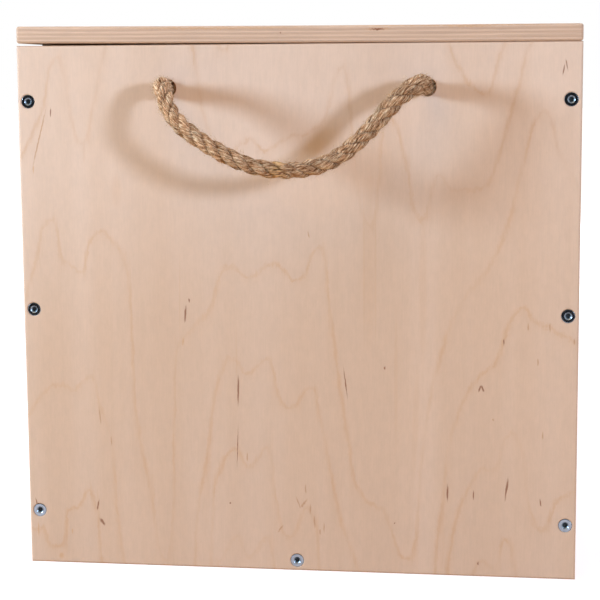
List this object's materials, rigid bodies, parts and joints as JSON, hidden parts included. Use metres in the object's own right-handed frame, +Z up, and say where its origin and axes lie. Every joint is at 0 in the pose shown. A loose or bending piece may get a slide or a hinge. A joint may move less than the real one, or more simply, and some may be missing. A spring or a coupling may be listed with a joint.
{
  "type": "chuck box",
  "caption": "Plywood camp kitchen box with a lift-off lid, a knotted rope handle through each end panel, and a lift-out tray resting on ledges above a lift-out divider.",
  "frame": {"origin": "middle of the footprint, on the surface the box stands on", "axes": "+X across the end panels, +Y along the long walls towards the rear end panel, +Z up"},
  "size_m": [0.4, 0.7246, 0.392],
  "materials": {
    "birch_plywood": "fine-sanded birch plywood, unfinished, layered edges showing",
    "plywood_strips": "strips sawn from the same plywood",
    "tray_plywood": "thin birch plywood, unfinished",
    "zinc_screws": "bright zinc-plated steel",
    "jute_rope": "three-strand natural jute, slightly hairy"
  },
  "bodies": {
    "box": {"bottom_panel": "birch_plywood", "bottom_screws_left": "zinc_screws", "bottom_screws_right": "zinc_screws", "divider_guide_left_front": "plywood_strips", "divider_guide_left_rear": "plywood_strips", "divider_guide_right_front": "plywood_strips", "divider_guide_right_rear": "plywood_strips", "end_panel_front": "birch_plywood", "end_panel_rear": "birch_plywood", "end_screws_front": "zinc_screws", "end_screws_rear": "zinc_screws", "guide_screws_left_front": "zinc_screws", "guide_screws_left_rear": "zinc_screws", "guide_screws_right_front": "zinc_screws", "guide_screws_right_rear": "zinc_screws", "ledge_left_front": "plywood_strips", "ledge_left_rear": "plywood_strips", "ledge_right_front": "plywood_strips", "ledge_right_rear": "plywood_strips", "ledge_screws_left_front": "zinc_screws", "ledge_screws_left_rear": "zinc_screws", "ledge_screws_right_front": "zinc_screws", "ledge_screws_right_rear": "zinc_screws", "rope_knot_front_left": "jute_rope", "rope_knot_front_right": "jute_rope", "rope_knot_rear_left": "jute_rope", "rope_knot_rear_right": "jute_rope", "side_panel_left": "birch_plywood", "side_panel_right": "birch_plywood"},
    "lid": {"lid_batten_front": "plywood_strips", "lid_batten_left": "plywood_strips", "lid_batten_rear": "plywood_strips", "lid_batten_right": "plywood_strips", "lid_panel": "birch_plywood", "lid_screws_front": "zinc_screws", "lid_screws_left": "zinc_screws", "lid_screws_rear": "zinc_screws", "lid_screws_right": "zinc_screws"},
    "tray": {"tray_bottom": "tray_plywood", "tray_bottom_screws": "zinc_screws", "tray_corner_screws_front": "zinc_screws", "tray_corner_screws_rear": "zinc_screws", "tray_end_front": "tray_plywood", "tray_end_rear": "tray_plywood", "tray_side_left": "tray_plywood", "tray_side_right": "tray_plywood"},
    "divider": {"divider_panel": "birch_plywood"},
    "handle_front": {"rope_handle_front": "jute_rope"},
    "handle_rear": {"rope_handle_rear": "jute_rope"}
  },
  "joints": [
    {"name": "lid_lift", "type": "slide", "parent": "box", "child": "lid", "axis": [0, 0, 1], "range_m": [0, 0.8]},
    {"name": "tray_lift", "type": "slide", "parent": "box", "child": "tray", "axis": [0, 0, 1], "range_m": [0, 0.6]},
    {"name": "divider_lift", "type": "slide", "parent": "box", "child": "divider", "axis": [0, 0, 1], "range_m": [0, 0.4]},
    {"name": "handle_front_swing", "type": "hinge", "parent": "box", "child": "handle_front", "pos_m": [0.0015, -0.309, 0.3495], "axis": [-1, 0, 0], "range_deg": [-40, 90]},
    {"name": "handle_rear_swing", "type": "hinge", "parent": "box", "child": "handle_rear", "pos_m": [-0.0015, 0.309, 0.3495], "axis": [1, 0, 0], "range_deg": [-40, 90]}
  ],
  "couplings": [
    {"joint": "tray_lift", "follows": "lid_lift", "ratio": 0.75},
    {"joint": "divider_lift", "follows": "lid_lift", "ratio": 0.5}
  ]
}
